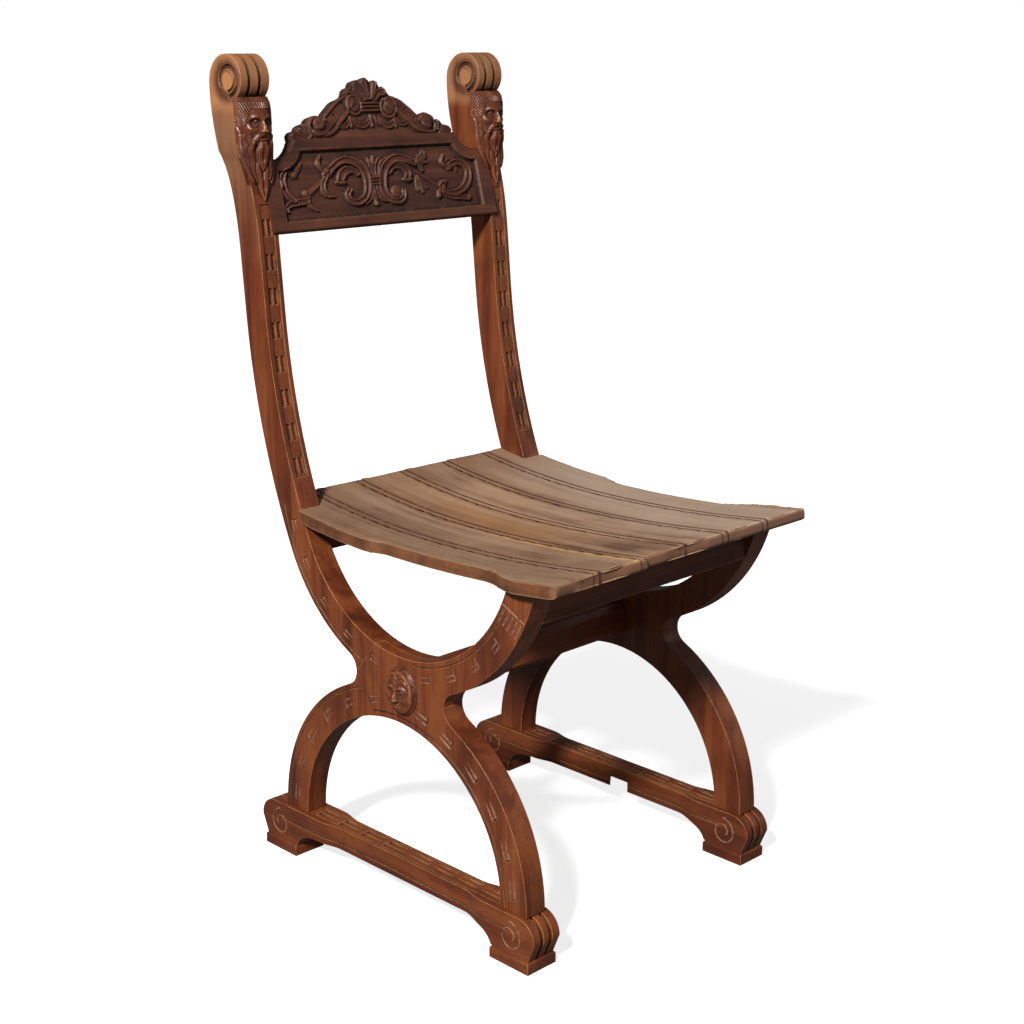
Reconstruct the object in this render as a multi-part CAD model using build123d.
# Side chair in the Savonarola manner: two curved X-shaped side frames on scrolled foot rails,
# a slatted seat dished from front to back, and a carved back panel with a crest between the posts.
# Millimetres. X runs to the right as seen from the front, Y to the back, Z up; the floor is z = 0.
# Nothing on the chair moves.
import os
from math import acos, asin, cos, degrees, radians, sin, sqrt

from build123d import *

# Side frames, drawn in the (y, z) plane
frame_spread = 420  # over the outer faces of the two frames
frame_thick = 30
bowl_y = -33  # centre of the bowl that the post and the arm form
bowl_z = 512
bowl_radius = 186  # rim of the bowl
member_depth = 40  # depth of post and arm, seen from the side
bowl_turn = 65.5  # from the bottom of the bowl to where the post straightens, in degrees
rise_radius = 850
rise_turn = 19.4
shaft_length = 84
lean_radius = 400  # the top of the post leans back
lean_turn = 14.5
arm_over = 10  # the arm's end rises this far over the seat's underside before it is cut to it
arch_y = -21  # centre of the arch that the two legs form
arch_radius = 178
leg_depth = 42
waist_radius = 22  # hollows beside the crossing
lap_rim = 48  # where the lapped shoulders meet the rim of the bowl, each way from its middle
lap_arch = 58  # where they meet the arch

# Post tops, wider than the posts
top_width = 42
flare_start = 842
flare_height = 58
flare_splay = 0.4  # how far the sweep still leans outward at its top
scroll_y = 262
scroll_z = 980
scroll_radius = 34  # first quarter turn of the scroll, behind
scroll_shrink = 4  # each further quarter is this much tighter
reed_width = 11
reed_groove = 3.5
eye_radius = 12
spiral_groove = 4.5
spiral_depth = 2.5
spiral_tightening = 0.9  # of the radius, for the spiral's last quarter
neck_depth = 54  # from the back of the scroll forward to the throat under its curl
head_y = 239
head_z = 934
head_radius = 20.5
head_height = 54
head_taper = 9  # chamfer of crown and chin
nose_length = 18
nose_width = 8
nose_reach = 8
beard_relief = 8
beard_start = 13  # below the middle of the head
beard_length = 72
lock_length = 50  # the two outer locks

# Channel with raised blocks and pairs of flutes on the front of each post
channel_width = 18
channel_depth = 1.5
channel_low = 508
channel_high = 838
channel_units = 8
block_length = 18
flute_width = 5
flute_depth = 2
flute_web = 3

# Foot rails and pads
rail_top = 65
rail_underside = 36  # between the pads
rail_front = -259
rail_back = 246
rail_end_width = 42
rail_waist_width = 30
rail_nose = 26  # radius of the scrolled ends
rail_tuck = 10  # the ends slope in to the pads by this much
rail_sweep = 52  # length over which the underside rises
rail_heel_slope = 0.4  # of that rise beside the pads, length over height
waist_front = -172  # the sides draw in behind this line and swell again past the next
waist_back = 126
waist_sweep = 35
rail_reed_groove = 5
rail_reed_spacing = 14
rail_reed_depth = 5
rail_flutes = 8
rail_flute_width = 6
rail_flute_web = 3
rail_flute_depth = 2.4  # at the stop; each flute runs out to nothing
rail_flute_gap = 7
notch_width = 24  # slanting notch through the lower edge of the right rail
notch_height = 14
notch_y = -20
notch_slant = 40
pad_height = 15
pad_length = 63
pad_width = 46
pad_round = 4
pad_inset = 8  # from the ends of the rail
tenon_depth = 26
tenon_thick = 14
tenon_shoulder = 7

# Seat
seat_width = 452
slat_count = 6
slat_gap = 0.6
slat_thick = 15
seat_front = -294
short_front = 6  # the four slats on the right stop this much short of the other two
short_from = 2  # index of the first of them
seat_back = 198
seat_low_y = -27  # lowest line of the dished seat
seat_low_z = 459.5
dish_front_radius = 2100
dish_back_radius = 1300
slat_nose = 5
bead_width = 9  # from the joint to the quirk beside it
quirk_width = 1.6
quirk_depth = 1.2
seat_waist = 22  # how far the sides draw in behind the front ears
back_ear_inset = 12
front_ear_length = 52
front_ear_sweep = 80
front_ear_round = 9
back_sweep_start = 18
back_sweep = 42

# Rails and stretcher between the frames
seat_rail_thick = 24
seat_rail_height = 44
seat_rail_tenon = 14
stretcher_height = 44
stretcher_depth = 28
stretcher_chamfer = 7
stretcher_y = -25
stretcher_z = 284
stretcher_tenon_height = 26
stretcher_tenon_depth = 14

# Back panel and crest, drawn on a plane that leans back
panel_y = 212  # bottom edge of the panel's front face
panel_z = 803.5
panel_lean = 14.5
panel_thick = 20
panel_housing = 8  # how far each end is let into a post
panel_shoulder = 89  # height at the posts
panel_top = 112
panel_top_half = 133
cavetto_width = 39
cavetto_hollow = 7
border_bottom = 12
border_top = 14
border_side = 14
field_depth = 5
relief_height = 3.5
relief_width = 7
relief_scroll_x = 33
relief_scroll_y = 55
relief_scroll_radius = 24
relief_curl_radius = 14.4  # where the scroll closes on its eye
relief_curl_turn = 150
relief_hook_x = 136
relief_hook_y = 56
relief_hook_radius = 18
relief_hook_start = -110
relief_hook_turn = 250
relief_stem_turn = 42
relief_eye = 7

crest_thick = 16
inner_volute_x = 27.5
inner_volute_rise = 38  # above the top of the panel
inner_volute_radius = 12.5
outer_volute_x = 92
outer_volute_rise = 19
outer_volute_radius = 11
volute_boss = 3
volute_rim = 4  # plain rim round the boss
crest_arm_drop = 6
crest_arm_slope = 0.3  # where the arm runs out at the outer volute
leaf_count = 3
leaf_radius = 9
leaf_shrink = 1.6
leaf_spacing = 12.5
lobe_count = 7
lobe_radius = 7
fan_radius = 30
fan_root = 15
fan_spread = 150
husk_count = 5
husk_half = 8
husk_length = 14
husk_lift = 2
dowel_diameter = 8
dowel_length = 24
dowel_spacing = 120
dowel_count = 2

# Masks over the crossings
mask_y = -33
mask_z = 284
mask_width = 54
mask_height = 62
mask_rim = 4
mask_dome = 8
mask_slope = 10  # from the outline in to the face's flat front
mask_nose_width = 9
mask_nose_length = 18
mask_nose_reach = 5

# Square pegs that hold the slats down on the seat rails
peg_side = 6
peg_bite = 9  # into the slat
peg_joint = 7  # from the joint beside the outer slats to the outer pegs

# Clearances
joint_gap = 0.1  # round tenons, dowels and housings
rest_gap = 0.3  # between curved faces that rest on each other
notch_gap = 0.6  # round the posts where the seat is notched

frame_out = frame_spread / 2
frame_in = frame_out - frame_thick
frame_mid = frame_out - frame_thick / 2
bowl_mid = bowl_radius + member_depth / 2
arch_mid = arch_radius + leg_depth / 2
slat_width = seat_width / slat_count
far = 2000  # beyond every part
overcut = 1  # cutting solids run past the faces they open


# A face drawn in (y, z), made into a solid from x = start to x = end.
def side_solid(face, start, end):
    return extrude(Plane.YZ.offset(start) * face, end - start)


# A face drawn in (x, z), made into a solid from y = start to y = end.
def front_solid(face, start, end):
    return extrude(Plane.XZ.offset(-end) * face, end - start)


def polygon(*corners):
    return make_face(Polyline(*corners, close=True))


def yz(vector):
    return vector.X, vector.Y


# A strip that follows a chain of tangent lines and arcs, between two offsets to their left.
def band(curves, left, right):
    sides = []
    for offset in (left, right):
        edges = []
        for curve in curves:
            ends = []
            for at in (0, 0.5, 1):
                along = curve % at
                ends.append(curve @ at + offset * Vector(-along.Y, along.X))
            straight = curve.geom_type == GeomType.LINE
            edges.append(Line(ends[0], ends[2]) if straight else ThreePointArc(*ends))
        sides.append(edges)
    caps = [Line(sides[0][0] @ 0, sides[1][0] @ 0), Line(sides[0][-1] @ 1, sides[1][-1] @ 1)]
    return make_face(sides[0] + sides[1] + caps)


# Middle line of the post from the bottom of the bowl to the neck.
def post_curve():
    bowl = JernArc((bowl_y, bowl_z - bowl_mid), (1, 0), bowl_mid, bowl_turn)
    rise = JernArc(bowl @ 1, bowl % 1, rise_radius, rise_turn)
    shaft = Line(rise @ 1, rise @ 1 + shaft_length * (rise % 1))
    lean = JernArc(shaft @ 1, shaft % 1, lean_radius, -lean_turn)
    return [bowl, rise, shaft, lean]


# Middle line of the arm, from the bottom of the bowl to just over the seat's underside.
def arm_curve():
    rise = bowl_z - underside_at(bowl_y - bowl_mid) - arm_over
    turn = degrees(acos(rise / (bowl_radius + member_depth)))
    return [JernArc((bowl_y, bowl_z - bowl_mid), (-1, 0), bowl_mid, -turn)]


# Centre of the circle that touches the outer curves of bowl and arch, behind (1) or before (-1).
def waist_centre(side):
    bowl = Vector(bowl_y, bowl_z)
    arch = Vector(arch_y, rail_top)
    bowl_reach = bowl_radius + member_depth + waist_radius
    arch_reach = arch_radius + leg_depth + waist_radius
    between = (arch - bowl).length
    along = (between**2 + bowl_reach**2 - arch_reach**2) / (2 * between)
    across = sqrt(bowl_reach**2 - along**2)
    down = (arch - bowl) / between
    return bowl + along * down + side * across * Vector(-down.Y, down.X)


def waist_tip(side):
    centre = waist_centre(side)
    middle = (waist_centre(1) + waist_centre(-1)) / 2
    return centre + waist_radius * (middle - centre).normalized()


# Solid wood between bowl and arch, with a round hollow on each side.
def waist_infill():
    corners = []
    for side in (1, -1):
        centre = waist_centre(side)
        bowl_way = (Vector(bowl_y, bowl_z) - centre).normalized()
        arch_way = (Vector(arch_y, rail_top) - centre).normalized()
        pair = [yz(centre + waist_radius * bowl_way), yz(centre + waist_radius * arch_way)]
        corners += pair if side == 1 else pair[::-1]
    infill = polygon(*corners)
    for side in (1, -1):
        centre = waist_centre(side)
        infill -= Pos(centre.X, centre.Y) * Circle(waist_radius)
    return infill


def arch_face():
    ring = Circle(arch_radius + leg_depth) - Circle(arch_radius)
    return Pos(arch_y, rail_top) * (ring & (Pos(0, far / 2) * Rectangle(far, far)))


# The whole side frame up to the neck: bowl, post, arm, arch and waist in one outline.
def frame_face():
    half = member_depth / 2
    return band(post_curve(), half, -half) + band(arm_curve(), half, -half) + arch_face() + waist_infill()


# The four limbs of the X are told apart by the shoulders of the lap joint, which run from the
# hollows of the waist to the rim of the bowl and to the crown of the arch.
def limb_region(side, upward):
    tip = waist_tip(side)
    if upward:
        foot = Vector(bowl_y + side * lap_rim, bowl_z - sqrt(bowl_radius**2 - lap_rim**2))
        beyond = far
    else:
        foot = Vector(arch_y + side * lap_arch, rail_top + sqrt(arch_radius**2 - lap_arch**2))
        beyond = -far
    lead = foot + joint_gap * (foot - tip).normalized()
    return polygon(yz(tip), yz(lead), (lead.X, beyond), (side * far, beyond), (side * far, tip.Y))


# The two arcs of the dished seat, front first, at a given depth under its top.
def dish_arcs(under, front_end=seat_front):
    start = (seat_low_y, seat_low_z - under)
    front_turn = degrees(asin((seat_low_y - front_end) / dish_front_radius))
    back_turn = degrees(asin((seat_back - seat_low_y) / dish_back_radius))
    front = JernArc(start, (-1, 0), dish_front_radius + under, -front_turn)
    back = JernArc(start, (1, 0), dish_back_radius + under, back_turn)
    return [front, back]


# Everything above the underside of the seat, less the resting clearance.
def above_seat_underside():
    arcs = dish_arcs(slat_thick + rest_gap)
    front_end = arcs[0] @ 1
    back_end = arcs[1] @ 1
    lid = Polyline(yz(front_end), (front_end.X, far), (back_end.X, far), yz(back_end))
    return make_face([*arcs, lid])


def scroll_arcs():
    second_radius = scroll_radius - scroll_shrink
    third_radius = second_radius - scroll_shrink
    first = JernArc((scroll_y + scroll_radius, scroll_z), (0, 1), scroll_radius, 90)
    second = JernArc(first @ 1, first % 1, second_radius, 90)
    third = JernArc(second @ 1, second % 1, third_radius, 90)
    return [first, second, third]


# Side view of the post's top: the back sweeps up into a scroll that curls forward and down.
def scroll_face():
    arcs = scroll_arcs()
    lean = post_curve()[-1]
    along = lean % 1
    across = Vector(-along.Y, along.X)
    behind = lean @ 1 - member_depth / 2 * across
    before = lean @ 1 + member_depth / 2 * across
    back = Spline(behind, arcs[0] @ 0, tangents=(along, (0, 1)))
    curl_end = arcs[-1] @ 1
    throat = (arcs[0] @ 0).X - neck_depth
    front = Polyline(yz(curl_end), (throat, curl_end.Y), yz(before), yz(behind))
    return make_face([back, *arcs, front])


# Three quarters of a turn that tighten towards a scroll's eye.
def spiral_band(y, z, radius, width):
    first = JernArc((y, z - radius), (-1, 0), radius, -90)
    second = JernArc(first @ 1, first % 1, radius, -90)
    third = JernArc(second @ 1, second % 1, radius * spiral_tightening, -90)
    return band([first, second, third], width / 2, -width / 2)


def post_top():
    inside = frame_mid - top_width / 2
    outside = frame_mid + top_width / 2
    solid = side_solid(scroll_face(), inside, outside)
    groove = (top_width - 3 * reed_width) / 2
    rim = band(scroll_arcs(), reed_groove, -reed_groove)
    for i in range(2):
        start = inside + reed_width + i * (reed_width + groove)
        solid -= side_solid(rim, start, start + groove)
    eye_y = scroll_y - scroll_shrink / 2
    eye_z = scroll_z + scroll_shrink
    spiral = spiral_band(eye_y, eye_z, eye_radius + spiral_groove / 2, spiral_groove)
    solid -= side_solid(spiral, outside - spiral_depth, outside + overcut)
    solid -= side_solid(spiral, inside - overcut, inside + spiral_depth)
    return solid


# Bearded head under the scroll, kept to its main forms.
def head():
    block = Cylinder(head_radius, head_height)
    rims = block.edges().filter_by(GeomType.CIRCLE)
    skull = Pos(frame_mid, head_y, head_z) * chamfer(rims, head_taper)
    front = head_y - head_radius
    nose = polygon(
        (front + nose_reach / 4, head_z + nose_length / 2),
        (front - nose_reach, head_z - nose_length / 4),
        (front + nose_reach / 2, head_z - nose_length / 2),
        (head_y, head_z),
    )
    return skull + side_solid(nose, frame_mid - nose_width / 2, frame_mid + nose_width / 2)


# Beard in three tapering locks that lie on the front of the post.
def beard():
    half = member_depth / 2
    layer = band(post_curve()[2:], half + beard_relief, 0)
    relief = side_solid(layer, frame_mid - top_width / 2, frame_mid + top_width / 2)
    root = head_z - beard_start
    locks = []
    for shift, length in ((-1, lock_length), (1, lock_length), (0, beard_length)):
        middle = frame_mid + shift * top_width / 4
        spread = top_width / 4
        outline = polygon((middle - spread, root), (middle + spread, root), (middle, root - length))
        locks.append(relief & front_solid(outline, head_y - far / 2, head_y + far / 2))
    return locks


# Narrows the post below the head to the frame's own thickness, with a hollow sweep.
def flare_cuts():
    depth = (top_width - frame_thick) / 2
    top = flare_start + flare_height
    cuts = []
    for sign in (1, -1):
        inner = frame_mid + sign * frame_thick / 2
        outer = inner + sign * depth
        sweep = Spline((inner, flare_start), (outer, top), tangents=((0, 1), (sign * flare_splay, 1)))
        clear = outer + sign * depth
        edge = Polyline((outer, top), (clear, top), (clear, 0), (inner, 0), (inner, flare_start))
        cuts.append(front_solid(make_face([sweep, edge]), -far, far))
    return cuts


def height_zone(low, high):
    return Pos(bowl_y, (low + high) / 2) * Rectangle(far, high - low)


def post_channel():
    half = member_depth / 2
    front = post_curve()
    shallow = band(front, half + overcut, half - channel_depth) & height_zone(channel_low, channel_high)
    cuts = [side_solid(shallow, frame_mid - channel_width / 2, frame_mid + channel_width / 2)]
    deep = band(front, half, half - channel_depth - flute_depth)
    pitch = (channel_high - channel_low) / channel_units
    for i in range(channel_units):
        low = channel_low + i * pitch + flute_web
        high = channel_low + (i + 1) * pitch - block_length
        flute = deep & height_zone(low, high)
        for sign in (1, -1):
            middle = frame_mid + sign * (flute_width + flute_web) / 2
            cuts.append(side_solid(flute, middle - flute_width / 2, middle + flute_width / 2))
    return cuts


def leg_tenon(y, grow=0):
    length = leg_depth - 2 * tenon_shoulder + 2 * grow
    depth = tenon_depth + grow
    return Pos(frame_mid, y, rail_top - depth / 2) * Box(tenon_thick + 2 * grow, length, depth)


# Height of the seat's underside over a line across the chair.
def underside_at(y):
    radius = dish_front_radius if y < seat_low_y else dish_back_radius
    return seat_low_z - slat_thick + (y - seat_low_y) ** 2 / (2 * radius)


# A seat rail stands in the middle of the post (1) or the arm (-1), right under the seat.
def seat_rail_y(side):
    middle = underside_at(bowl_y + side * bowl_mid) - seat_rail_height / 2
    return bowl_y + side * sqrt(bowl_mid**2 - (bowl_z - middle) ** 2)


def seat_rail_tenon_face(y, grow=0):
    height = seat_rail_height - 2 * tenon_shoulder + 2 * grow
    middle = underside_at(y) - seat_rail_height / 2
    return Pos(y, middle) * Rectangle(tenon_thick + 2 * grow, height)


def seat_rail_housing(y):
    reach = frame_in + seat_rail_tenon + joint_gap
    return side_solid(seat_rail_tenon_face(y, joint_gap), frame_in - overcut, reach)


def stretcher_tenon(grow=0):
    section = Rectangle(stretcher_tenon_depth + 2 * grow, stretcher_tenon_height + 2 * grow)
    return side_solid(Pos(stretcher_y, stretcher_z) * section, -frame_out, frame_out)


# Plane of the panel's front face; local y runs up the panel.
def panel_plane():
    lean = radians(panel_lean)
    return Plane(origin=(0, panel_y, panel_z), x_dir=(1, 0, 0), z_dir=(0, -cos(lean), sin(lean)))


# Hollow corner between the panel's shoulder and its top edge, moved in for the field's border.
def cavetto(side, inward, drop):
    low = Vector(side * (panel_top_half + cavetto_width - inward), panel_shoulder - drop)
    high = Vector(side * (panel_top_half - inward), panel_top - drop)
    chord = (high - low).normalized()
    deepest = (low + high) / 2 + cavetto_hollow * side * Vector(-chord.Y, chord.X)
    return ThreePointArc(low, deepest, high)


def panel_face(half_width, bottom, inward, drop):
    right = cavetto(1, inward, drop)
    left = cavetto(-1, inward, drop)
    top = Line(right @ 1, left @ 1)
    shoulder = (right @ 0).Y
    ledge = [(half_width, shoulder)] if half_width > (right @ 0).X + joint_gap else []
    corners = [yz(left @ 0), *[(-x, y) for x, y in ledge], (-half_width, bottom), (half_width, bottom)]
    foot = Polyline(*corners, *ledge, yz(right @ 0))
    return make_face([right, top, left, foot])


def panel_blank(grow):
    half_width = frame_in + panel_housing + grow
    face = panel_face(half_width, -grow, 0, -grow)
    return panel_plane() * Pos(0, 0, grow) * extrude(face, -panel_thick - 2 * grow)


# Relief of the right half of the field: a scroll that curls in to an eye, its stem, and a hook.
def relief_faces():
    half = relief_width / 2
    start = (relief_scroll_x, relief_scroll_y + relief_scroll_radius)
    outer = JernArc(start, (-1, 0), relief_scroll_radius, 180)
    inner = JernArc(outer @ 1, outer % 1, relief_curl_radius, relief_curl_turn)
    stem = JernArc(start, (1, 0), 2 * relief_scroll_radius, -relief_stem_turn)
    tail = Line(stem @ 1, stem @ 1 + relief_scroll_radius * (stem % 1))
    eye = inner @ 1
    hook = CenterArc((relief_hook_x, relief_hook_y), relief_hook_radius, relief_hook_start, relief_hook_turn)
    hook_end = hook @ 1
    return [
        band([outer, inner], half, -half),
        band([stem, tail], half, -half),
        Pos(eye.X, eye.Y) * Circle(relief_eye),
        band([hook], half, -half),
        Pos(hook_end.X, hook_end.Y) * Circle(relief_eye),
    ]


def back_panel():
    half_width = frame_in - border_side
    inward = panel_top_half + cavetto_width - half_width
    field = panel_face(half_width, border_bottom, inward, border_top)
    panel = panel_blank(0)
    panel -= panel_plane() * extrude(field, -field_depth)
    floor = panel_plane() * Pos(0, 0, -field_depth)
    for face in relief_faces():
        strap = extrude(face, relief_height)
        panel += floor * strap + floor * mirror(strap, about=Plane.YZ)
    binding = Pos(0, relief_scroll_y) * Rectangle(2 * (relief_scroll_x - relief_scroll_radius), relief_width)
    panel += floor * extrude(binding, relief_height)
    return panel - crest_dowels(joint_gap)


# Pediment: a palmette between two volutes, arms that slope to outer volutes, and leaf ends.
def crest_outline():
    inner_top = (inner_volute_x, panel_top + inner_volute_rise + inner_volute_radius)
    arm_foot = (outer_volute_x - outer_volute_radius / 2, panel_top + outer_volute_rise + crest_arm_drop)
    outer_edge = outer_volute_x + outer_volute_radius
    arm = Spline(inner_top, arm_foot, tangents=((1, 0), (1, -crest_arm_slope)))
    outer_side = [(outer_edge, panel_top + outer_volute_rise), (outer_edge, panel_top)]
    rest = Polyline(arm_foot, *outer_side, (0, panel_top))
    middle = Polyline((0, panel_top), (0, inner_top[1]), inner_top)
    outline = make_face([arm, rest, middle])
    outline += Pos(inner_volute_x, panel_top + inner_volute_rise) * Circle(inner_volute_radius)
    outline += Pos(outer_volute_x, panel_top + outer_volute_rise) * Circle(outer_volute_radius)
    for i in range(leaf_count):
        radius = leaf_radius - i * leaf_shrink
        leaf = Pos(outer_edge + i * leaf_spacing, panel_top + radius) * Circle(radius)
        leaf += Pos(outer_edge + i * leaf_spacing, panel_top + radius / 2) * Rectangle(2 * radius, radius)
        outline += leaf
    return outline


def palmette():
    middle = panel_top + inner_volute_rise
    lobes = Pos(0, middle) * Circle(fan_root)
    for i in range(lobe_count):
        angle = radians(90 + fan_spread * (i / (lobe_count - 1) - 0.5))
        tip = (fan_radius * cos(angle), middle + fan_radius * sin(angle))
        side = Vector(-sin(angle), cos(angle)) * lobe_radius
        ray = polygon((0, middle), (tip[0] + side.X, tip[1] + side.Y), (tip[0] - side.X, tip[1] - side.Y))
        lobes += ray
        lobes += Pos(*tip) * Circle(lobe_radius)
    return lobes


def back_crest():
    right = crest_outline()
    face = right + mirror(right, about=Plane.YZ) + palmette()
    back = Pos(0, 0, -(panel_thick + crest_thick) / 2)
    crest = back * extrude(face, crest_thick)
    front = Pos(0, 0, -(panel_thick - crest_thick) / 2)
    for x, rise, radius in (
        (inner_volute_x, inner_volute_rise, inner_volute_radius),
        (outer_volute_x, outer_volute_rise, outer_volute_radius),
    ):
        for sign in (1, -1):
            boss = Cylinder(radius - volute_rim, volute_boss)
            crest += front * Pos(sign * x, panel_top + rise, volute_boss / 2) * boss
    for i in range(husk_count):
        x = (i - (husk_count - 1) / 2) * inner_volute_x
        tip = panel_top + husk_lift
        husk = polygon((x, tip), (x + husk_half, tip + husk_length), (x - husk_half, tip + husk_length))
        crest += front * extrude(husk, volute_boss)
    return panel_plane() * crest - crest_dowels(joint_gap)


def crest_dowels(grow=0):
    peg = Cylinder(dowel_diameter / 2 + grow, dowel_length + 2 * grow, rotation=(90, 0, 0))
    pegs = []
    for i in range(dowel_count):
        x = (i - (dowel_count - 1) / 2) * dowel_spacing
        pegs.append(panel_plane() * Pos(x, panel_top, -panel_thick / 2) * peg)
    return pegs


# One board of the seat in side view, with its nose rounded.
def slat_face(front_end):
    top = dish_arcs(0, front_end)
    under = dish_arcs(slat_thick, front_end)
    front = Line(top[0] @ 1, under[0] @ 1)
    back = Line(top[1] @ 1, under[1] @ 1)
    face = make_face([*top, *under, front, back])
    nose = face.vertices().sort_by(Axis.X)[:2]
    return fillet(nose, slat_nose)


# Plan of the right half of the seat: an ear in front, a drawn-in side, a smaller ear behind.
def seat_plan():
    front_half = seat_width / 2
    waist_half = front_half - seat_waist
    back_half = front_half - back_ear_inset
    first = seat_front + front_ear_length
    second = first + front_ear_sweep
    third = seat_low_y + back_sweep_start
    fourth = third + back_sweep
    overshoot = 3 * slat_thick
    front_sweep = Spline((front_half, first), (waist_half, second), tangents=((0, 1), (0, 1)))
    rear_sweep = Spline((waist_half, third), (back_half, fourth), tangents=((0, 1), (0, 1)))
    side = Line((waist_half, second), (waist_half, third))
    back = Polyline((back_half, fourth), (back_half, seat_back + overshoot), (0, seat_back + overshoot))
    middle = Line((0, seat_back + overshoot), (0, seat_front))
    front = Polyline((0, seat_front), (front_half, seat_front), (front_half, first))
    plan = make_face([front_sweep, side, rear_sweep, back, middle, front])
    corner = plan.vertices().sort_by(Axis.Y)[:2].sort_by(Axis.X)[-1]
    return fillet(corner, front_ear_round)


# Notch for the post: the post's own side view, grown and carried out through the back edge.
def post_notch():
    half = member_depth / 2 + notch_gap
    rise = post_curve()[:2]
    reach = member_depth / 2
    cut = band(rise, half, -half - reach)
    inside = frame_in - notch_gap
    return side_solid(cut, inside, frame_out + notch_gap), side_solid(cut, frame_out, far)


def seat_slat(index):
    left = -seat_width / 2 + index * slat_width + slat_gap / 2
    right = left + slat_width - slat_gap
    quirk = right - bead_width
    front_end = seat_front + (short_front if index >= short_from else 0)
    slat = side_solid(slat_face(front_end), left, right)
    slat -= side_solid(quirk_face(), quirk - quirk_width, quirk)
    if index in (0, slat_count - 1):
        plan = extrude(Pos(0, 0, seat_low_z - far / 2) * seat_plan(), far)
        for notch in post_notch():
            plan -= notch
        slat &= plan if index else mirror(plan, about=Plane.YZ)
    for side in (-1, 1):
        slat -= seat_peg(index, seat_rail_y(side), joint_gap)
    return slat


def quirk_face():
    top = dish_arcs(-overcut)
    floor = dish_arcs(quirk_depth)
    ends = [Line(top[i] @ 1, floor[i] @ 1) for i in range(2)]
    return make_face([*top, *floor, *ends])


# Middle of a slat; the outer slats, which reach past the rail, are held beside their inner joint.
def peg_x(index):
    middle = -seat_width / 2 + (index + 0.5) * slat_width
    outer = seat_width / 2 - slat_width + peg_joint
    return max(-outer, min(outer, middle))


# Peg up through the seat rail into the slat, flush with the rail's underside.
def seat_peg(index, y, grow=0):
    low = underside_at(y) - seat_rail_height - grow
    high = underside_at(y) + peg_bite + grow
    side = peg_side + 2 * grow
    return Pos(peg_x(index), y, (low + high) / 2) * Box(side, side, high - low)


def seat_rail(y):
    low = underside_at(y) - seat_rail_height
    body = Pos(y, low + seat_rail_height) * Rectangle(seat_rail_thick, 2 * seat_rail_height)
    rail = side_solid(body, -frame_in, frame_in) - side_solid(above_seat_underside(), -frame_out, frame_out)
    rail += side_solid(seat_rail_tenon_face(y), -frame_in - seat_rail_tenon, frame_in + seat_rail_tenon)
    for index in range(slat_count):
        rail -= seat_peg(index, y, joint_gap)
    return rail


def stretcher():
    section = Rectangle(stretcher_depth, stretcher_height)
    section = chamfer(section.vertices(), stretcher_chamfer)
    bar = side_solid(Pos(stretcher_y, stretcher_z) * section, -frame_in, frame_in)
    return bar + stretcher_tenon()


def rail_side_face():
    front_nose = JernArc((rail_front, rail_top - rail_nose), (0, 1), rail_nose, -90)
    back_nose = JernArc((rail_back, rail_top - rail_nose), (0, 1), rail_nose, 90)
    top = Line(front_nose @ 1, back_nose @ 1)
    tucked = Polyline(
        (rail_front, rail_top - rail_nose),
        (rail_front + rail_tuck, pad_height),
        (rail_back - rail_tuck, pad_height),
        (rail_back, rail_top - rail_nose),
    )
    face = make_face([front_nose, top, back_nose, tucked])
    front_foot = rail_front + pad_inset + pad_length
    back_foot = rail_back - pad_inset - pad_length
    front_rise = front_foot + rail_sweep
    back_rise = back_foot - rail_sweep
    rising = ((rail_heel_slope, 1), (1, 0))
    falling = ((1, 0), (rail_heel_slope, -1))
    first = Spline((front_foot, pad_height), (front_rise, rail_underside), tangents=rising)
    flat = Line((front_rise, rail_underside), (back_rise, rail_underside))
    second = Spline((back_rise, rail_underside), (back_foot, pad_height), tangents=falling)
    below = Polyline((back_foot, pad_height), (back_foot, 0), (front_foot, 0), (front_foot, pad_height))
    return face - make_face([first, flat, second, below])


# The rail's sides draw in between the leg feet, in plan.
def rail_waist_cuts():
    cuts = []
    for sign in (1, -1):
        wide = frame_mid + sign * rail_end_width / 2
        narrow = frame_mid + sign * rail_waist_width / 2
        clear = wide + sign * overcut
        first = Spline((wide, waist_front), (narrow, waist_front + waist_sweep), tangents=((0, 1), (0, 1)))
        flat = Line((narrow, waist_front + waist_sweep), (narrow, waist_back - waist_sweep))
        second = Spline((narrow, waist_back - waist_sweep), (wide, waist_back), tangents=((0, 1), (0, 1)))
        edge = Polyline((wide, waist_back), (clear, waist_back), (clear, waist_front), (wide, waist_front))
        cuts.append(extrude(make_face([first, flat, second, edge]), rail_top + overcut))
    return cuts


def rail_details():
    middle = rail_top - rail_nose
    cuts = []
    for end, sign in ((rail_front, -1), (rail_back, 1)):
        centre = end - sign * rail_nose
        ring = Circle(far) - Circle(rail_nose - rail_reed_depth)
        ahead = ring & (Pos(sign * far / 2, 0) * Rectangle(far, far))
        for side in (1, -1):
            x = frame_mid + side * rail_reed_spacing / 2
            groove = Pos(centre, middle) * ahead
            cuts.append(side_solid(groove, x - rail_reed_groove / 2, x + rail_reed_groove / 2))
    front = arch_y - arch_radius + rail_flute_gap
    back = arch_y + arch_radius - rail_flute_gap
    pitch = (back - front) / rail_flutes
    for i in range(rail_flutes):
        low = front + i * pitch + rail_flute_gap / 2
        high = low + pitch - rail_flute_gap
        stop, end = (high, low) if 2 * i >= rail_flutes else (low, high)
        wedge = polygon((stop, rail_top), (stop, rail_top - rail_flute_depth), (end, rail_top))
        for side in (1, -1):
            x = frame_mid + side * (rail_flute_width + rail_flute_web) / 2
            cuts.append(side_solid(wedge, x - rail_flute_width / 2, x + rail_flute_width / 2))
    return cuts


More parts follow.
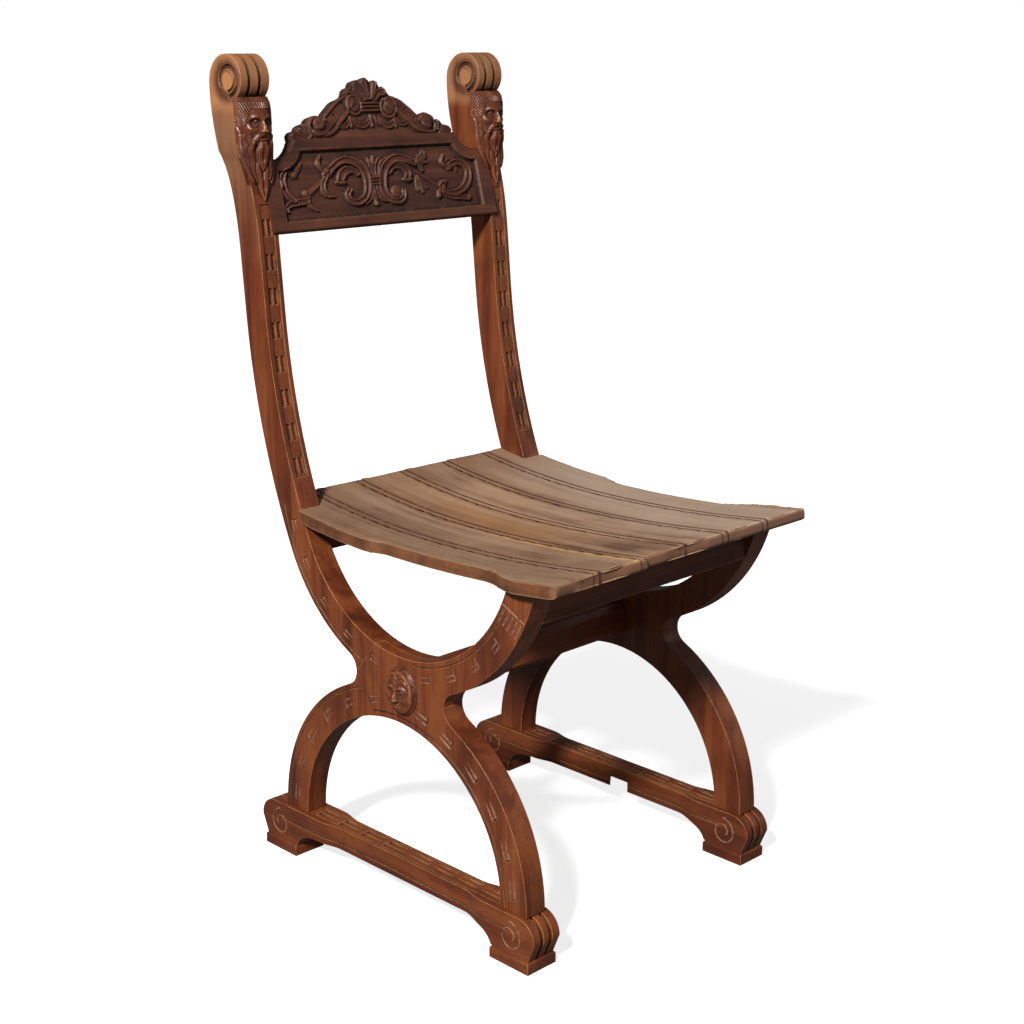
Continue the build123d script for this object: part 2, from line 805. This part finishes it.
def foot_rail(notched):
    rail = side_solid(rail_side_face(), frame_mid - rail_end_width / 2, frame_mid + rail_end_width / 2)
    for cut in rail_waist_cuts() + rail_details():
        rail -= cut
    for y in (arch_y - arch_mid, arch_y + arch_mid):
        rail -= leg_tenon(y, joint_gap)
    if notched:
        notch = Rot(0, 0, notch_slant) * Box(far, notch_width, 2 * notch_height)
        rail -= Pos(frame_mid, notch_y, rail_underside) * notch
    return rail


def pad(front):
    y = rail_front + pad_inset + pad_length / 2 if front else rail_back - pad_inset - pad_length / 2
    block = Pos(frame_mid, y, pad_height / 2) * Box(pad_width, pad_length, pad_height)
    return fillet(block.edges().group_by(Axis.Z)[-1], pad_round)


# Generic mask: an oval face that narrows towards the front, with a wedge for its nose.
def mask():
    seat = Plane.YZ.offset(frame_out)
    middle = seat * Pos(mask_y, mask_z)
    base = extrude(middle * Ellipse(mask_width / 2, mask_height / 2), mask_rim)
    back = Ellipse(mask_width / 2 - mask_rim, mask_height / 2 - mask_rim)
    front = Ellipse(mask_width / 2 - mask_slope, mask_height / 2 - mask_slope)
    face = loft([middle * Pos(0, 0, mask_rim) * back, middle * Pos(0, 0, mask_rim + mask_dome) * front])
    flat = frame_out + mask_rim + mask_dome
    profile = polygon(
        (flat, mask_z + mask_nose_length / 2),
        (flat + mask_nose_reach, mask_z - mask_nose_length / 2),
        (flat, mask_z - mask_nose_length / 2),
    )
    nose = front_solid(profile, mask_y - mask_nose_width / 2, mask_y + mask_nose_width / 2)
    return base + face + nose


# Right-hand frame members; the left-hand pair is their mirror image.
def frame_members():
    face = frame_face()
    rear_up = limb_region(1, True)
    front_up = limb_region(-1, True)
    rear_down = limb_region(1, False)
    front_down = limb_region(-1, False)
    crossing = face - rear_up - front_up - rear_down - front_down
    shaft = face & rear_up
    post_leg = side_solid(shaft, frame_mid - top_width / 2, frame_mid + top_width / 2)
    post_leg += post_top() + head()
    for lock in beard():
        post_leg += lock
    for cut in flare_cuts() + post_channel():
        post_leg -= cut
    post_leg += side_solid(face & front_down, frame_in, frame_out)
    post_leg += side_solid(crossing, frame_in, frame_mid)
    post_leg += leg_tenon(arch_y - arch_mid)
    arm_leg = side_solid(face & front_up, frame_in, frame_out)
    arm_leg += side_solid(face & rear_down, frame_in, frame_out)
    arm_leg += side_solid(crossing, frame_mid, frame_out)
    arm_leg += leg_tenon(arch_y + arch_mid)
    arm_leg -= side_solid(above_seat_underside(), frame_in - overcut, frame_out + overcut)
    post_leg -= seat_rail_housing(seat_rail_y(1))
    arm_leg -= seat_rail_housing(seat_rail_y(-1))
    post_leg -= stretcher_tenon(joint_gap)
    arm_leg -= stretcher_tenon(joint_gap)
    post_leg -= panel_blank(joint_gap)
    return post_leg, arm_leg


def both_sides(name, solid):
    return {f"right_{name}": solid, f"left_{name}": mirror(solid, about=Plane.YZ)}


def build():
    post_leg, arm_leg = frame_members()
    pieces = both_sides("post_leg", post_leg) | both_sides("arm_leg", arm_leg)
    pieces["right_foot_rail"] = foot_rail(True)
    pieces["left_foot_rail"] = mirror(foot_rail(False), about=Plane.YZ)
    pieces |= both_sides("front_pad", pad(True)) | both_sides("rear_pad", pad(False))
    pieces |= both_sides("mask", mask())
    pieces["center_stretcher"] = stretcher()
    pieces["front_seat_rail"] = seat_rail(seat_rail_y(-1))
    pieces["rear_seat_rail"] = seat_rail(seat_rail_y(1))
    for index in range(slat_count):
        pieces[f"seat_slat_{index + 1}"] = seat_slat(index)
    pieces["back_panel"] = back_panel()
    pieces["back_crest"] = back_crest()
    pieces["crest_dowels"] = Compound(crest_dowels())
    pegs = []
    for side in (-1, 1):
        pegs += [seat_peg(index, seat_rail_y(side)) for index in range(slat_count)]
    pieces["seat_pegs"] = Compound(pegs)
    return pieces


os.makedirs("parts", exist_ok=True)
for name, piece in build().items():
    export_step(piece, f"parts/{name}.step")
